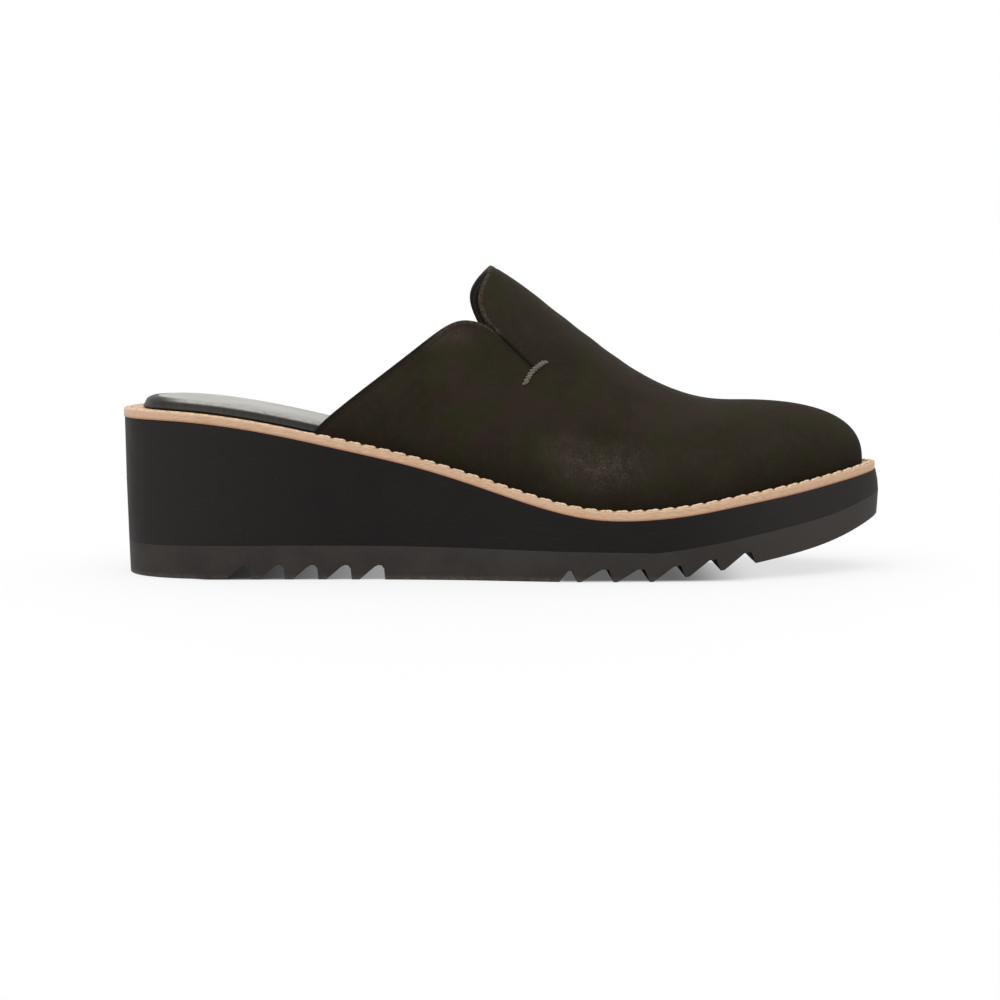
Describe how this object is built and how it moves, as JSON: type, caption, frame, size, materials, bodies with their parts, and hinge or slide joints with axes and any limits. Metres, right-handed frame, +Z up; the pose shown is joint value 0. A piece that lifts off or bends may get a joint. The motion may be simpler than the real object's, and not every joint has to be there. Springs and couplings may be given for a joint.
{
  "type": "wedge slip-on shoe",
  "caption": "Backless wedge slip-on for the right foot: a dark nubuck upper with a raised tab, a stitched tan welt, a grey insole and a black wedge with a notched outsole.",
  "frame": {"origin": "on the floor under the middle of the sole", "axes": "+X towards the toe, +Y towards the inner side of the foot, +Z up"},
  "size_m": [0.263, 0.0873, 0.1054],
  "materials": {
    "outsole_rubber": "matt moulded rubber, black worn to dark grey",
    "midsole_foam": "matt black foam rubber with fine pores",
    "welt_leather": "light tan leather strip with a cream lock stitch",
    "insole_cover": "silver grey cover, its edge wrapped in black",
    "upper_nubuck": "waxed dark brown nubuck with a fine nap and pale scuffs"
  },
  "bodies": {
    "root": {"outsole": "outsole_rubber", "midsole": "midsole_foam", "welt": "welt_leather", "insole": "insole_cover", "upper": "upper_nubuck"}
  },
  "joints": []
}
